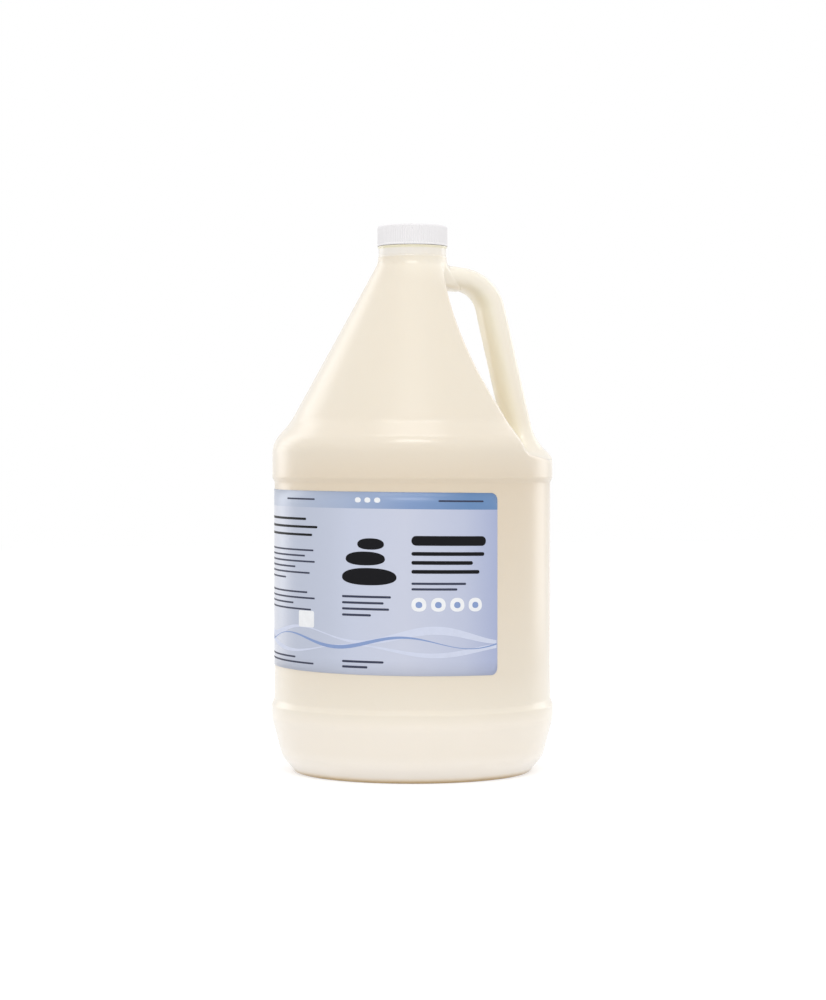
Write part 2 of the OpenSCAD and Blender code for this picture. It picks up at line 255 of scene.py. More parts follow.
# ---------------------------------------------------------------- meshes
def make_mesh(name, points, faces, normals=None, smooth=True):
    """An object whose points are given in millimetres."""
    mesh = bpy.data.meshes.new(name)
    faces = [list(map(int, f)) for f in faces]
    mesh.from_pydata((np.asarray(points, float) * MM).tolist(), [], faces)
    mesh.update()
    if smooth:
        mesh.shade_smooth()
    if normals is not None:
        mesh.normals_split_custom_set_from_vertices(np.asarray(normals, float).tolist())
    thing = bpy.data.objects.new(name, mesh)
    bpy.context.scene.collection.objects.link(thing)
    return thing


COLUMNS = 384
LID_R = 1.5                                     # the middle of a turned end is one flat face


def ring_points(r, z, columns=COLUMNS):
    """One ring of points. r may be a number or one value for each column."""
    t = (np.arange(columns) + 0.5) * 2 * math.pi / columns
    return np.stack([r * np.cos(t), r * np.sin(t), np.full(columns, z)], axis=1)


def ring_quads(first, second):
    """Quads between two rings of point numbers; they face outwards when second is above first."""
    return np.stack([first, np.roll(first, -1), np.roll(second, -1), second], axis=1)


def turned(profile, columns=COLUMNS, radius=None):
    """Points and rings of a turned surface. radius(angles, r, z) may reshape each ring."""
    t = (np.arange(columns) + 0.5) * 2 * math.pi / columns
    points = np.concatenate([ring_points(radius(t, r, z) if radius else r, z, columns)
                             for r, z in profile])
    return points, np.arange(len(points)).reshape(-1, columns)


def spread(low, high, step):
    """Even places from low to high, about step apart."""
    return np.linspace(low, high, round((high - low) / step) + 1)


FINE, COARSE = 0.9, 1.25                        # the net's cells, fine at the neck


class Net:
    """The surface where the jug's field is level, as quads on a grid of radius, angle and height."""
    LOW_R, FINE_R, TOP_R = 8, 26, 84            # where it starts, turns coarse and ends
    FINE_Z = 284                                # and where it turns fine, going up

    def __init__(self, level, z_top):
        self.level = level
        r = np.concatenate([spread(self.LOW_R, self.FINE_R, FINE)[:-1],
                            spread(self.FINE_R, self.TOP_R, COARSE)])
        z = np.concatenate([spread(NET_Z, self.FINE_Z, COARSE)[:-1], spread(self.FINE_Z, z_top, FINE)])
        t = np.arange(COLUMNS) * 2 * math.pi / COLUMNS
        flat = r[:, None, None], t[None, :, None], z[None, None, :]
        values = jug_field(flat[0] * np.cos(flat[1]), flat[0] * np.sin(flat[1]), flat[2]) - level
        cells, places, quads = self.cross(values)
        numbers, inverse = np.unique(cells, return_inverse=True)
        count = np.bincount(inverse)
        place = np.stack([np.bincount(inverse, places[:, a]) / count for a in range(3)], axis=1)
        self.cell = np.stack(np.unravel_index(numbers, values.shape), axis=1)
        place += self.cell
        radius = np.interp(place[:, 0], np.arange(len(r)), r)
        angle = place[:, 1] * 2 * math.pi / COLUMNS
        height = np.interp(place[:, 2], np.arange(len(z)), z)
        self.points = np.stack([radius * np.cos(angle), radius * np.sin(angle), height], axis=1)
        self.quads = np.searchsorted(numbers, quads)
        self.bottom, self.top = self.rim(0), self.rim(len(z) - 2)
        self.settle()
        slope = gradient(self.points, 0.4)
        self.normals = slope / np.linalg.norm(slope, axis=1)[:, None]

    @staticmethod
    def cross(values):
        """Cell numbers, crossing points within their cells, and quads of cell numbers."""
        inside = values < 0
        cells, places, quads = [], [], []
        for axis in range(3):
            after = np.roll(values, -1, axis)
            change = inside != np.roll(inside, -1, axis)
            if axis != 1:
                change[tuple(-1 if a == axis else slice(None) for a in range(3))] = False
            index = np.argwhere(change)
            va, vb = values[change], after[change]
            others = [(axis + 1) % 3, (axis + 2) % 3]
            ring, spots = [], []
            for dn, dm in ((1, 1), (0, 1), (0, 0), (1, 0)):
                cell, spot = index.copy(), np.zeros((len(index), 3))
                cell[:, others[0]] -= dn
                cell[:, others[1]] -= dm
                spot[:, axis] = va / (va - vb)
                spot[:, others[0]], spot[:, others[1]] = dn, dm
                ring.append(cell)
                spots.append(spot)
            ring, spots = np.stack(ring, axis=1), np.stack(spots, axis=1)
            high = np.array(values.shape) - 1
            whole = ((ring[..., [0, 2]] >= 0) & (ring[..., [0, 2]] < high[[0, 2]])).all(axis=(1, 2))
            ring, spots, flip = ring[whole], spots[whole], (va > 0)[whole]
            ring[..., 1] %= values.shape[1]
            flat = np.ravel_multi_index(tuple(np.moveaxis(ring, -1, 0)), values.shape)
            cells.append(flat.ravel())
            places.append(spots.reshape(-1, 3))
            flat[flip] = flat[flip][:, ::-1]
            quads.append(flat)
        return np.concatenate(cells), np.concatenate(places), np.concatenate(quads)

    def rim(self, row):
        """The point numbers of the cells in one row of heights, in order of angle."""
        found = np.flatnonzero(self.cell[:, 2] == row)
        return found[np.argsort(self.cell[found, 1])]

    def settle(self):
        """Evens the points out and puts them on the surface, with the rims held.

        The last round only puts them on it.
        """
        held = np.concatenate([self.bottom, self.top])
        size = len(self.points)
        for relax in (0.5, 0.5, 0.5, 0.3, 0.0):
            total, count = np.zeros((size, 3)), np.zeros(size)
            for i in range(4):
                for j in ((i + 1) % 4, (i + 3) % 4):
                    for a in range(3):
                        next_to = self.points[self.quads[:, j], a]
                        total[:, a] += np.bincount(self.quads[:, i], next_to, size)
                    count += np.bincount(self.quads[:, i], minlength=size)
            moved = self.points + relax * (total / count[:, None] - self.points)
            moved[held] = self.points[held]
            value, slope = jug_field(*moved.T) - self.level, gradient(moved, 0.25)
            move = np.clip(value / (slope ** 2).sum(axis=1), -1, 1)[:, None] * slope
            move[held] = 0
            self.points = moved - move


class Shell:
    """Collects the points, faces and normals of one closed skin."""

    def __init__(self, columns=COLUMNS):
        self.columns, self.size = columns, 0
        self.points, self.quads, self.normals, self.lids = [], [], [], []

    def add(self, points, quads=None, normals=None):
        """Adds points and returns the number of the first."""
        first = self.size
        self.points.append(points)
        self.normals.append(np.zeros((len(points), 3)) if normals is None else normals)
        self.size += len(points)
        if quads is not None:
            self.quads.append(quads + first)
        return first

    def band(self, profile, radius=None):
        """Adds a turned stretch and returns its first and last ring."""
        points, rings = turned(profile, self.columns, radius)
        rings = rings + self.add(points)
        for a, b in zip(rings[:-1], rings[1:]):
            self.quads.append(ring_quads(a, b))
        return rings[0], rings[-1]

    def bridge(self, first, second):
        self.quads.append(ring_quads(first, second))

    def lid(self, ring):
        self.lids.append(ring)

    def mesh(self, name):
        faces = [*np.concatenate(self.quads), *self.lids]
        return make_mesh(name, np.concatenate(self.points), faces, np.concatenate(self.normals))


def thread_height(angles, z, start, turns, half_root, half_crest, fade=0.5):
    """How far a helical ridge stands up, from 0 to 1, at each angle of a ring at height z."""
    best = np.zeros(len(angles))
    for lap in range(math.ceil(turns) + 1):
        along = angles / (2 * math.pi) + lap
        out = np.clip(np.minimum(along, turns - along) * 2 * math.pi / fade, 0, 1)
        off = np.abs(z - start - PITCH * along)
        rise = np.clip((half_root - off) / (half_root - half_crest), 0, 1)
        best = np.maximum(best, rise * out * out * (3 - 2 * out))
    return best


# ---------------------------------------------------------------- materials
def material(name, colour, roughness, **extra):
    """A principled material; extra names other inputs of the shader."""
    m = bpy.data.materials.new(name)
    m.use_nodes = True
    shader = m.node_tree.nodes["Principled BSDF"]
    shader.inputs["Base Color"].default_value = (*colour, 1)
    shader.inputs["Roughness"].default_value = roughness
    for key, value in extra.items():
        shader.inputs[key.replace("_", " ")].default_value = value
    return m


def node(m, kind, **settings):
    n = m.node_tree.nodes.new(kind)
    for key, value in settings.items():
        if hasattr(n, key):
            setattr(n, key, value)
        else:
            n.inputs[key.replace("_", " ")].default_value = value
    return n


def link(m, a, b):
    m.node_tree.links.new(a, b)


def vary(m, colours, scale, detail=4.0):
    """Base colour that drifts between two colours in object space."""
    shader = m.node_tree.nodes["Principled BSDF"]
    place = node(m, "ShaderNodeTexCoord")
    noise = node(m, "ShaderNodeTexNoise", Scale=scale, Detail=detail)
    mix = node(m, "ShaderNodeMix", data_type="RGBA")
    link(m, place.outputs["Object"], noise.inputs["Vector"])
    link(m, noise.outputs["Fac"], mix.inputs["Factor"])
    for socket, colour in zip((6, 7), colours):
        mix.inputs[socket].default_value = (*colour, 1)
    link(m, mix.outputs[2], shader.inputs["Base Color"])


def grain(m, scale, strength, distance):
    """Fine bump from noise in object space."""
    shader = m.node_tree.nodes["Principled BSDF"]
    place = node(m, "ShaderNodeTexCoord")
    noise = node(m, "ShaderNodeTexNoise", Scale=scale, Detail=3.0)
    bump = node(m, "ShaderNodeBump", Strength=strength, Distance=distance)
    link(m, place.outputs["Object"], noise.inputs["Vector"])
    link(m, noise.outputs["Fac"], bump.inputs["Height"])
    link(m, bump.outputs["Normal"], shader.inputs["Normal"])


def ramp(m, factor, stops):
    """A colour ramp through [place, colour] stops, listed in order of place."""
    n = node(m, "ShaderNodeValToRGB")
    elements = n.color_ramp.elements
    for element, (place, colour) in zip(list(elements), (stops[0], stops[-1])):
        element.position = place
        element.color = (*colour, 1)
    for place, colour in stops[1:-1]:
        elements.new(place).color = (*colour, 1)
    link(m, factor, n.inputs["Fac"])
    return n.outputs["Color"]


WAVER = 0.0006                                  # metres by which the ramp's heights waver


def hdpe_material():
    """Cream satin plastic with painted shade and light by height, and a handle painted pale as if
    backlit.
    """
    m = material("natural_hdpe", (0.76, 0.67, 0.54), 0.24, IOR=1.5, Subsurface_Weight=0.3,
                 Subsurface_Scale=0.002, Sheen_Weight=0.5, Sheen_Roughness=0.3)
    shader = m.node_tree.nodes["Principled BSDF"]
    shader.inputs["Subsurface Radius"].default_value = (1.0, 0.95, 0.85)
    place = node(m, "ShaderNodeTexCoord")
    split = node(m, "ShaderNodeSeparateXYZ")
    noise = node(m, "ShaderNodeTexNoise", Scale=14.0, Detail=4.0)
    drift = node(m, "ShaderNodeMath", operation="MULTIPLY_ADD")
    drift.inputs[1].default_value = WAVER
    height = node(m, "ShaderNodeMath", operation="DIVIDE")
    height.inputs[1].default_value = CAP_TOP_Z * MM
    link(m, place.outputs["Object"], split.inputs["Vector"])
    link(m, place.outputs["Object"], noise.inputs["Vector"])
    link(m, noise.outputs["Fac"], drift.inputs[0])
    link(m, split.outputs["Z"], drift.inputs[2])
    link(m, drift.outputs[0], height.inputs[0])
    # painted shade and light low down: an amber painted contact shade along the floor line, then painted
    # light that makes the base and foot paler, as the floor would light them
    painted_contact_shade, painted_base_light, painted_foot_light = (0.62, 0.42, 0.18), (1.0, 0.92, 0.83), (0.95, 0.86, 0.75)
    # painted shade: the colour deepens round the top of the panel, under its step
    pale, waist, painted_panel_shade = (0.80, 0.72, 0.60), (0.80, 0.715, 0.595), (0.74, 0.63, 0.49)
    collar, seat = (0.82, 0.78, 0.72), (0.88, 0.83, 0.60)
    colour = ramp(m, height.outputs[0], [[z / CAP_TOP_Z, tint] for z, tint in (
        (0.9, painted_contact_shade), (1.7, (0.88, 0.74, 0.55)), (3.4, painted_base_light), (7.0, painted_base_light), (16.0, painted_foot_light),
        (BUMPER_Z, painted_foot_light), (BUMPER_TOP_Z, (0.86, 0.78, 0.66)), (PANEL_Z, waist), (PANEL_TOP_Z, painted_panel_shade),
        (SHOULDER_Z, waist), (CONE_Z + 15, pale), (NECK_TOP_Z, pale), (NECK_TOP_Z + 0.8, collar),
        (COLLAR_TOP_Z - 0.5, collar), (COLLAR_TOP_Z - 0.1, seat), (COLLAR_TOP_Z + SEAT_H, seat),
        (COLLAR_TOP_Z + SEAT_H + 0.4, pale), (CAP_TOP_Z, pale))])
    # painted backlight: the handle is made paler, its inner face palest, as if lit through from behind
    for name, tint in (("backlit_handle", (0.90, 0.83, 0.71)), ("backlit_inner_face", (1.0, 0.95, 0.78))):
        share = node(m, "ShaderNodeAttribute", attribute_name=name)
        blend = node(m, "ShaderNodeMix", data_type="RGBA")
        blend.inputs[7].default_value = (*tint, 1)
        link(m, share.outputs["Fac"], blend.inputs["Factor"])
        link(m, colour, blend.inputs[6])
        colour = blend.outputs[2]
    link(m, colour, shader.inputs["Base Color"])
    grain(m, 900.0, 0.10, 0.0002)
    return m


def cap_material():
    """White satin plastic."""
    m = material("white_cap", (0.80, 0.78, 0.80), 0.55, IOR=1.49)
    vary(m, ((0.80, 0.785, 0.795), (0.83, 0.815, 0.825)), 60.0)
    grain(m, 2600.0, 0.12, 0.0001)
    return m


def foam_material():
    """White foam with a fine grain."""
    m = material("liner_foam", (0.86, 0.86, 0.83), 0.8)
    vary(m, ((0.84, 0.84, 0.81), (0.9, 0.9, 0.87)), 400.0)
    grain(m, 4000.0, 0.5, 0.0003)
    return m


HDPE = hdpe_material()
CAP_PLASTIC = cap_material()
FOAM = foam_material()


# ---------------------------------------------------------------- the jug
SEAM, RING_STEP = 0.7, 2.6                      # below the net, and between turned rings


def turned_part(profile, top_r, base_z):
    """The part of a profile that is turned: from a small ring in the base up to the net."""
    low = profile[:np.argmax(profile[:, 1] > NET_Z - 1)]
    return refined(np.concatenate([[[LID_R, base_z]], low[1:], [[top_r, NET_Z - SEAM]]]), RING_STEP)


# the handle's paleness is painted backlight
BACKLIGHT_REACH, BACKLIGHT_FALL = 12, 12                  # how far the handle's paleness spreads out and down


def make_jug():
    """One closed skin: base, body and handle, neck finish, and the inside back to the base.

    Two values at each point, one for the handle and one for its inner face, tell the material where to
    make it pale with painted backlight.
    """
    outer, inner = Net(0.0, NECK_TOP_Z - 0.1), Net(-WALL, NECK_Z + 1.2)
    shell = Shell()
    base, below = shell.band(turned_part(BODY, BODY_R, PUSH_UP))
    shell.lid(base[::-1])
    first = shell.add(outer.points, outer.quads, outer.normals)
    shell.bridge(below, outer.bottom + first)
    finish = rounded([
        [NECK_R, NECK_TOP_Z - 0.3, 0], [NECK_R, NECK_TOP_Z, 0.15], [COLLAR_R, NECK_TOP_Z + 0.1, 0.15],
        [COLLAR_R, COLLAR_TOP_Z - 0.1, 0.1], [SEAT_R, COLLAR_TOP_Z, 0.15],
        [SEAT_R, COLLAR_TOP_Z + SEAT_H, 0.25], [FINISH_R, COLLAR_TOP_Z + SEAT_H, 0.3],
        [FINISH_R, LIP_Z, 0.5], [MOUTH_R, LIP_Z, 0.6], [MOUTH_R, NECK_TOP_Z + 2, 1],
        [NECK_R - WALL, NECK_TOP_Z - 1.5, 1], [NECK_R - WALL, NECK_Z + 1.4, 0],
    ], 4)

    def threaded(angles, r, z):
        if abs(r - FINISH_R) > 0.01 or not COLLAR_TOP_Z + 1 < z < LIP_Z - 0.5:
            return r
        return r + (THREAD_R - FINISH_R) * thread_height(angles, z, THREAD_Z, *NECK_THREAD)

    neck, bore = shell.band(refined(finish, 0.3), threaded)
    shell.bridge(outer.top + first, neck)
    first = shell.add(inner.points, inner.quads[:, ::-1], -inner.normals)
    shell.bridge(bore, inner.top + first)
    above, floor = shell.band(turned_part(INSIDE, BODY_R - WALL, PUSH_UP + WALL)[::-1])
    shell.bridge(inner.bottom + first, above)
    shell.lid(floor)
    jug = shell.mesh("jug_shell")
    x, y, z = np.concatenate(shell.points).T
    # masks for the painted backlight: points near the handle, fading out below the shelf, and of those
    # the ones facing the axis
    near = np.clip(1 - handle_field(x, y, np.maximum(z, NET_Z)) / BACKLIGHT_REACH, 0, 1) ** 2
    near = near * np.clip((z - SHELF_Z) / BACKLIGHT_FALL + 1, 0, 1)
    toward_axis = np.clip(-np.concatenate(shell.normals)[:, 0], 0, 1)
    for name, share in (("backlit_handle", near), ("backlit_inner_face", near * toward_axis)):
        jug.data.attributes.new(name, "FLOAT", "POINT").data.foreach_set("value", share)
    jug.data.materials.append(HDPE)
    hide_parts("jug")
    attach(jug, "jug")


# ---------------------------------------------------------------- the cap and its liner
CAP_COLUMNS = RIB_COUNT * 8
RIM_OUT = 0.1                                   # how far the rim stands out past the skirt
RIB_FADE, RIB_START, RIB_SHARP = 0.9, 0.1, 0.7
FLAT_R, RING_SHARE = 15, 12                     # inside this radius one ring in so many is kept


def make_cap():
    """Ribbed skirt, plain rim, rounded top, and a bore with its thread."""
    skirt_r = CAP_R - RIM_OUT
    profile = refined(rounded([
        [LID_R, CAP_IN_Z, 0], [CAP_BORE_R, CAP_IN_Z, 0.4], [CAP_BORE_R, CAP_Z, 0.2], [CAP_R, CAP_Z, 0.25],
        [CAP_R, CAP_Z + RIM_H - 0.1, 0.1], [skirt_r, CAP_Z + RIM_H, 0.1],
        [skirt_r, CAP_TOP_Z, CAP_ROUND], [LID_R, CAP_TOP_Z, 0],
    ], 6), 0.35)
    ribs_low, ribs_high = CAP_Z + RIM_H, CAP_TOP_Z - 0.3

    def shaped(angles, r, z):
        if abs(r - CAP_BORE_R) < 0.01:
            start = THREAD_Z + PITCH / 2
            return r - (CAP_BORE_R - CAP_THREAD_R) * thread_height(angles, z, start, *CAP_THREAD)
        if r < skirt_r - CAP_ROUND or r > skirt_r + 0.01 or not ribs_low < z < ribs_high:
            return r
        fade = min(1.0, (ribs_high - z) / RIB_FADE, (z - ribs_low) / RIB_START)
        wave = 0.5 - 0.5 * np.cos(RIB_COUNT * angles)
        return r - RIB_DEPTH * fade * wave ** RIB_SHARP

    some = np.arange(len(profile)) % RING_SHARE == 0
    keep = (profile[:, 0] > FLAT_R) | some | (profile[:, 0] == LID_R)
    shell = Shell(CAP_COLUMNS)
    under, over = shell.band(profile[keep], shaped)
    shell.lid(under[::-1])
    shell.lid(over)
    cap = shell.mesh("cap_shell")
    cap.data.materials.append(CAP_PLASTIC)
    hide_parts("cap")
    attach(cap, "cap")


def finish_liner():
    """The CAD disc is shown as it is, in foam."""
    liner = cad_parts["liner"]
    liner.data.materials.clear()
    liner.data.materials.append(FOAM)


# ---------------------------------------------------------------- the label
FRONT = 270 + VIEW_AZIMUTH                      # angle of the middle of the front panel
PANELS = 3                                      # the front one and two of text to its left
PANEL_W = math.radians(LABEL_SPAN / PANELS) * LABEL_R
TILT = math.tan(math.radians(0.6))              # the film was put on slightly crooked
BAND_H = 9.0                                    # height of the dark band along the film's top


def on_body(u, v, lift=0.0):
    """A point of the film, u right of the front's middle and v above its lower edge."""
    a = math.radians(FRONT) + u / LABEL_R
    r = LABEL_R + LABEL_T + lift
    z = LABEL_Z + v - TILT * (u + PANEL_W)
    return np.stack([r * np.cos(a), r * np.sin(a), z], axis=-1)


def label_material():
    """Pale blue film with a band along its top, both deepening towards the right edge.

    The ramps' stops are shares of the film's whole length, from its left end.
    """
    m = material("label_film", (0.5, 0.55, 0.7), 0.34, Coat_Weight=0.25, Coat_Roughness=0.25)
    shader = m.node_tree.nodes["Principled BSDF"]
    place = node(m, "ShaderNodeUVMap", uv_map="print")
    split = node(m, "ShaderNodeSeparateXYZ")
    link(m, place.outputs["UV"], split.inputs["Vector"])
    # the ground is painted paler about 0.46, where the film turns away at the left, as a painted
    # reflection of a side light, and falls off to 0.545
    ground = ramp(m, split.outputs["X"], [
        [0.0, (0.48, 0.52, 0.65)], [0.30, (0.53, 0.57, 0.69)], [0.46, (0.60, 0.62, 0.71)],
        [0.50, (0.52, 0.55, 0.65)], [0.545, (0.455, 0.49, 0.60)], [0.58, (0.455, 0.495, 0.61)],
        [0.67, (0.50, 0.54, 0.66)], [0.72, (0.54, 0.58, 0.71)], [0.82, (0.56, 0.59, 0.71)],
        [0.93, (0.49, 0.53, 0.68)], [1.0, (0.37, 0.42, 0.62)]])
    band = ramp(m, split.outputs["X"], [
        [0.0, (0.30, 0.37, 0.53)], [0.30, (0.38, 0.43, 0.56)], [0.58, (0.41, 0.46, 0.58)],
        [0.70, (0.35, 0.42, 0.58)], [0.83, (0.19, 0.29, 0.51)], [0.94, (0.11, 0.225, 0.44)],
        [1.0, (0.12, 0.235, 0.45)]])
    edge = node(m, "ShaderNodeMath", operation="GREATER_THAN")
    edge.inputs[1].default_value = 1 - BAND_H / LABEL_H
    link(m, split.outputs["Y"], edge.inputs[0])
    mix = node(m, "ShaderNodeMix", data_type="RGBA")
    link(m, edge.outputs[0], mix.inputs["Factor"])
    link(m, ground, mix.inputs[6])
    link(m, band, mix.inputs[7])
    link(m, mix.outputs[2], shader.inputs["Base Color"])
    grain(m, 1500.0, 0.05, 0.0001)
    return m


def make_film():
    """The film: a curved plate with rounded corners, and its print coordinates."""
    left, right = PANEL_W / 2 - PANELS * PANEL_W, PANEL_W / 2
    turn = LABEL_CORNER * (1 - np.cos(np.linspace(0, math.pi / 2, 9)))
    columns = np.unique(np.concatenate([np.linspace(left, right, 161), left + turn, right - turn]))
    margin = np.minimum(columns - left, right - columns).clip(0, LABEL_CORNER)
    trim = LABEL_CORNER - np.sqrt(LABEL_CORNER ** 2 - (LABEL_CORNER - margin) ** 2)
    rows = np.linspace(0, 1, 13)
    v = trim[:, None] + (LABEL_H - 2 * trim)[:, None] * rows[None, :]
    u = np.repeat(columns[:, None], len(rows), axis=1)
    face = on_body(u, v).reshape(-1, 3)
    back = on_body(u, v, -LABEL_T).reshape(-1, 3)
    n, m = u.shape
    grid = np.arange(n * m).reshape(n, m)
    quads = np.stack([grid[:-1, :-1], grid[1:, :-1], grid[1:, 1:], grid[:-1, 1:]], axis=-1).reshape(-1, 4)
    rim = np.concatenate([grid[:, 0], grid[-1, 1:], grid[-2::-1, -1], grid[0, -2:0:-1]])
    loop = np.stack([rim, np.roll(rim, -1)], axis=1)
    sides = np.stack([loop[:, 1], loop[:, 0], loop[:, 0] + n * m, loop[:, 1] + n * m], axis=1)
    film = make_mesh("label_film", np.concatenate([face, back]),
                     np.concatenate([quads, quads[:, ::-1] + n * m, sides]))
    uv = film.data.uv_layers.new(name="print")
    flat = np.stack([(u - left) / (right - left), v / LABEL_H], axis=-1).reshape(-1, 2)
    flat = np.concatenate([flat, flat])
    index = np.zeros(len(film.data.loops), int)
    film.data.loops.foreach_get("vertex_index", index)
    uv.data.foreach_set("uv", flat[index].ravel())
    film.data.materials.append(label_material())
    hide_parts("label")
    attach(film, "jug")


class Ink:
    """Everything that is printed in one colour, as plates that stand just proud of the film."""

    def __init__(self, name, colour, proud):
        self.name, self.proud, self.points, self.faces, self.size = name, proud, [], [], 0
        self.material = material(name, colour, 0.5, Specular_IOR_Level=0.1)
        vary(self.material, [[c * share for c in colour] for share in (0.94, 1.06)], 300.0)

    def strip(self, u, low, high):
        """A plate between two lines over the places u, left to right."""
        n = len(u)
        corners = [on_body(u, v, lift) for v, lift in ((low, self.proud), (high, self.proud),
                                                       (high, -self.proud), (low, -self.proud))]
        ring = self.size + np.arange(4 * n).reshape(4, n)
        for a, b in zip(ring, np.roll(ring, -1, axis=0)):
            self.faces += np.stack([a[:-1], a[1:], b[1:], b[:-1]], axis=1).tolist()
        self.faces += [ring[:, 0].tolist(), ring[::-1, -1].tolist()]
        self.points += corners
        self.size += 4 * n

    def bar(self, u, v, width, height, corner=None):
        """A bar with rounded ends or corners, centred at u, v."""
        r = height / 2 if corner is None else corner
        turn = r * (1 - np.cos(np.linspace(0.05, math.pi / 2, 7)))
        straight = np.linspace(r, width - r, 2 + int(width // 3))
        x = np.unique(np.concatenate([turn, width - turn, straight]))
        margin = np.minimum(x, width - x).clip(0, r)
        trim = r - np.sqrt(r * r - (r - margin) ** 2)
        self.strip(u - width / 2 + x, v - height / 2 + trim, v + height / 2 - trim)

    def pebble(self, u, v, width, height):
        """A flattened stone shape."""
        x = np.cos(np.linspace(math.pi - 0.06, 0.06, 25)) * width / 2
        y = (1 - np.abs(2 * x / width) ** 2.3) ** (1 / 2.3) * height / 2
        self.strip(u + x, v - 0.85 * y, v + y)

    def wave(self, v, swing, lap, shift, thick):
        """A ribbon that swells and thins as it runs along the whole film."""
        u = np.linspace(-2.5 * PANEL_W + LABEL_CORNER, PANEL_W / 2 - 0.6, 181)
        middle = v + swing * np.sin(2 * math.pi * (u / lap + shift))
        half = thick * (0.55 + 0.45 * np.sin(2 * math.pi * (u / lap * 0.63 + shift * 1.7))) / 2 + 0.1
        self.strip(u, middle - half, middle + half)

    def mesh(self):
        thing = make_mesh(self.name, np.concatenate(self.points), self.faces, smooth=False)
        thing.data.materials.append(self.material)
        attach(thing, "jug")


def ruled(ink, u, v, widths, pitch, height):
    """Ruled rows in place of small print, level at their left ends."""
    for i, width in enumerate(widths):
        ink.bar(u + width / 2, v - i * pitch, width, height)


def make_print():
    """A generic design: stacked pebbles, bare title bars, waves, discs and ruled rows.

    All places and sizes are millimetres on the flat film, from its lower edge and the panel's middle.
    """
    light = Ink("ink_light", (0.62, 0.66, 0.80), 0.02)
    white = Ink("ink_white", (0.84, 0.85, 0.87), 0.03)
    blue = Ink("ink_blue", (0.25, 0.34, 0.58), 0.04)
    slate = Ink("ink_slate", (0.05, 0.055, 0.09), 0.05)
    black = Ink("ink_black", (0.008, 0.008, 0.01), 0.05)
    for lap in (-2, -1, 0):
        middle = lap * PANEL_W
        slate.bar(middle + 27, 93.9, 26, 0.9)
        for i in range(3):
            white.pebble(middle - 30 + 5.5 * i, 93.9, 3.4, 3.0)
    light.wave(21, 3.4, PANEL_W / 1.2, 0.10, 4.2)
    blue.wave(17.5, 3.0, PANEL_W / 1.3, 0.32, 1.8)
    light.wave(13.5, 2.6, PANEL_W / 1.1, 0.62, 2.6)
    for rise, width, height, shift in ((52.5, 31, 10, 0), (62.3, 22.5, 8, -2), (70.2, 15, 6.6, 1.2)):
        black.pebble(-24 + shift, rise, width, height)
    black.bar(20.5, 72.5, 42, 5.2, 2.5)
    ruled(black, -0.5, 65.5, (41, 34, 38), 4.8, 2.0)
    ruled(slate, -0.5, 49.5, (30, 25), 3.0, 1.2)
    ruled(slate, -39.5, 42, (28, 24, 27, 17), 3.3, 1.2)
    for i in range(4):
        white.pebble(3.5 + 10.5 * i, 38, 8, 8)
        blue.pebble(3.5 + 10.5 * i, 38, 3.6, 3.6)
    ruled(slate, -39.5, 7, (24, 15), 2.9, 1.2)
    for lap in (-1, -2):
        middle = lap * PANEL_W
        ruled(black, middle - 38, 83, (71, 80, 76), 4.3, 1.3)
        ruled(slate, middle - 38, 66, (77, 70, 78, 61, 74, 50), 3.1, 0.95)
        ruled(slate, middle - 38, 43, (72, 78, 59, 75), 3.1, 0.95)
        white.bar(middle + 33, 28.5, 13, 9, 1.2)
        ruled(slate, middle - 38, 7.2, (61, 77), 2.8, 0.95)
    for ink in (black, slate, white, light, blue):
        ink.mesh()


make_jug()
make_cap()
finish_liner()
make_film()
make_print()


# ---------------------------------------------------------------- floor, lights and camera
SKY_LEVEL = 0.85                                # light from all round
FLOOR_TONE = 0.9                                # the floor's own colour, which takes the shadow
GLOW = 0.40                                     # share of the floor's look that is plain glow


def seen_rays(tree):
    """1 for rays that show the background: from the camera, a reflection or a clear body."""
    path = tree.nodes.new("ShaderNodeLightPath")
    total = path.outputs["Is Camera Ray"]
    for name in ("Is Glossy Ray", "Is Transmission Ray"):
        most = tree.nodes.new("ShaderNodeMath")
        most.operation = "MAXIMUM"
        tree.links.new(total, most.inputs[0])
        tree.links.new(path.outputs[name], most.inputs[1])
        total = most.outputs[0]
    return total


def make_floor():
    """A white floor that keeps the shadow: its glow tops the sky's light on it up to just white."""
    side = 4000
    corners = [[-side, -side, 0], [side, -side, 0], [side, side, 0], [-side, side, 0]]
    floor = make_mesh("floor", corners, [[0, 1, 2, 3]], smooth=False)
    m = material("floor_white", (FLOOR_TONE, FLOOR_TONE, FLOOR_TONE), 0.9)
    lit = (1 - GLOW) * FLOOR_TONE * SKY_LEVEL
    glow = node(m, "ShaderNodeEmission", Strength=(1 - lit) / GLOW)
    share = node(m, "ShaderNodeMath", operation="MULTIPLY")
    share.inputs[1].default_value = GLOW
    mix = node(m, "ShaderNodeMixShader")
    link(m, seen_rays(m.node_tree), share.inputs[0])
    link(m, share.outputs[0], mix.inputs["Fac"])
    link(m, m.node_tree.nodes["Principled BSDF"].outputs[0], mix.inputs[1])
    link(m, glow.outputs[0], mix.inputs[2])
    link(m, mix.outputs[0], m.node_tree.nodes["Material Output"].inputs["Surface"])
    floor.data.materials.append(m)


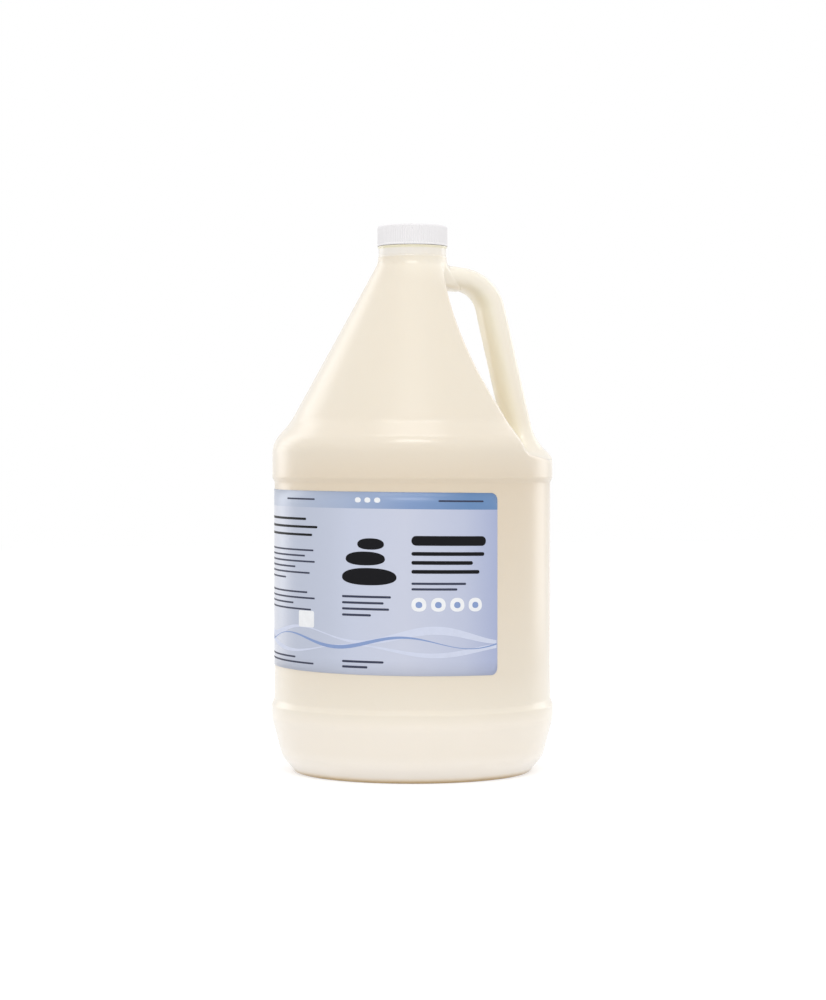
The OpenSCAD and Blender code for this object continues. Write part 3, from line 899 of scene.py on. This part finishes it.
def make_world():
    """Soft light from all round, and plain white where the background itself is seen."""
    world = bpy.data.worlds.new("studio")
    world.use_nodes = True
    tree = world.node_tree
    light = tree.nodes["Background"]
    light.inputs["Color"].default_value = (1, 1, 1, 1)
    light.inputs["Strength"].default_value = SKY_LEVEL
    seen = tree.nodes.new("ShaderNodeBackground")
    seen.inputs["Color"].default_value = (1, 1, 1, 1)
    mix = tree.nodes.new("ShaderNodeMixShader")
    tree.links.new(seen_rays(tree), mix.inputs["Fac"])
    tree.links.new(light.outputs[0], mix.inputs[1])
    tree.links.new(seen.outputs[0], mix.inputs[2])
    tree.links.new(mix.outputs[0], tree.nodes["World Output"].inputs["Surface"])
    bpy.context.scene.world = world


def aim(thing, target):
    """Turns a lamp or camera to look at a point, with its top up."""
    direction = target - thing.location
    thing.rotation_euler = direction.to_track_quat("-Z", "Y").to_euler()


JUG_MIDDLE = Vector((0, 0, 0.15))               # metres


def soft_light(name, azimuth, elevation, distance, size, level):
    """A soft light that looks at the jug's middle and adds level times a surface's own colour.

    Azimuth is counted from the camera's side, and level 1 would show a facing surface as it is.
    """
    lamp = bpy.data.lights.new(name, "AREA")
    lamp.shape = "RECTANGLE"
    lamp.size, lamp.size_y = size
    lamp.energy = level * (math.pi * distance) ** 2
    thing = bpy.data.objects.new(name, lamp)
    bpy.context.scene.collection.objects.link(thing)
    a, e = math.radians(VIEW_AZIMUTH + azimuth), math.radians(elevation)
    toward = Vector((math.sin(a) * math.cos(e), -math.cos(a) * math.cos(e), math.sin(e)))
    thing.location = JUG_MIDDLE + distance * toward
    aim(thing, JUG_MIDDLE)


PIXEL_MM = 0.565                                # at the jug's axis
EYE_Z, DISTANCE = 172.3, 2600 * PIXEL_MM
FRAME_ROWS, FLOOR_ROW = 1000, 770               # rows of the frame, and the row of the axis's foot
FRAME_H = FRAME_ROWS * PIXEL_MM
MIDDLE_Z = (FLOOR_ROW - FRAME_ROWS // 2) * PIXEL_MM
OFF_CENTRE = 0.6                                # pixels that the axis stands left of the middle
SENSOR = 36


def make_camera():
    """The photo's view, from a little above the jug's middle."""
    lens = bpy.data.cameras.new("camera")
    camera = bpy.data.objects.new("camera", lens)
    bpy.context.scene.collection.objects.link(camera)
    a = math.radians(VIEW_AZIMUTH)
    right = Vector((math.cos(a), math.sin(a), 0)) * OFF_CENTRE * PIXEL_MM * MM
    back = Vector((math.sin(a), -math.cos(a), 0)) * DISTANCE * MM
    camera.location = back + Vector((0, 0, EYE_Z * MM)) + right
    aim(camera, Vector((0, 0, MIDDLE_Z * MM)) + right)
    lens.sensor_width = SENSOR
    lens.lens = SENSOR * DISTANCE / FRAME_H
    lens.clip_end = 50
    bpy.context.scene.camera = camera


make_floor()
make_world()
soft_light("top_soft", 0, 76, 1.6, (1.0, 0.2), 0.12)
soft_light("front_soft", 0, 48, 1.2, (0.5, 0.1), 0.16)
soft_light("left_soft", -130, 15, 1.3, (0.5, 1.3), 0.16)
soft_light("right_soft", 130, 15, 1.3, (0.5, 1.3), 0.16)
make_camera()
bpy.context.scene.view_settings.view_transform = "Standard"
